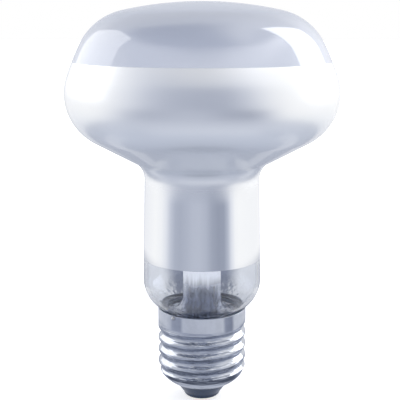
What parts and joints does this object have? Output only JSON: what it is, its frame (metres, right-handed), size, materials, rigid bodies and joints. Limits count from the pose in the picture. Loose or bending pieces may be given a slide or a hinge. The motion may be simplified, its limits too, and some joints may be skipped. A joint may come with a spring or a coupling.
{
  "type": "reflector bulb",
  "caption": "Mushroom-shaped reflector bulb with a frosted front, a mirror-coated side and neck, a clear foot that shows the stem, and a screw cap.",
  "frame": {"origin": "tip of the centre contact, on the bulb's axis", "axes": "+Z along the axis from the contact to the frosted front; +X is where the first groove of the thread starts"},
  "size_m": [0.078, 0.078, 0.117],
  "materials": {
    "clear_glass": "clear gloss",
    "mirror_layer": "satin",
    "frosted_layer": "frosted",
    "stem_glass": "clear gloss",
    "tungsten": "matt",
    "molybdenum": "satin",
    "nickel_wire": "satin",
    "copper_wire": "satin",
    "cap_metal": "polished",
    "cement": "matt",
    "black_glass": "gloss",
    "contact_metal": "satin",
    "solder": "satin"
  },
  "bodies": {
    "root": {"glass_envelope": "clear_glass", "mirror_coating": "mirror_layer", "frost_coating": "frosted_layer", "stem_flare": "stem_glass", "exhaust_tube": "stem_glass", "support_rod": "stem_glass", "filament": "tungsten", "filament_support_1": "molybdenum", "filament_support_2": "molybdenum", "filament_support_3": "molybdenum", "lead_wire_right": "nickel_wire", "lead_wire_left": "nickel_wire", "seal_wire_right": "copper_wire", "seal_wire_left": "copper_wire", "centre_lead": "copper_wire", "side_lead": "copper_wire", "fuse_sleeve": "stem_glass", "screw_shell": "cap_metal", "cement_ring": "cement", "insulator": "black_glass", "contact_plate": "contact_metal", "centre_solder": "solder", "side_solder": "solder"}
  },
  "joints": []
}
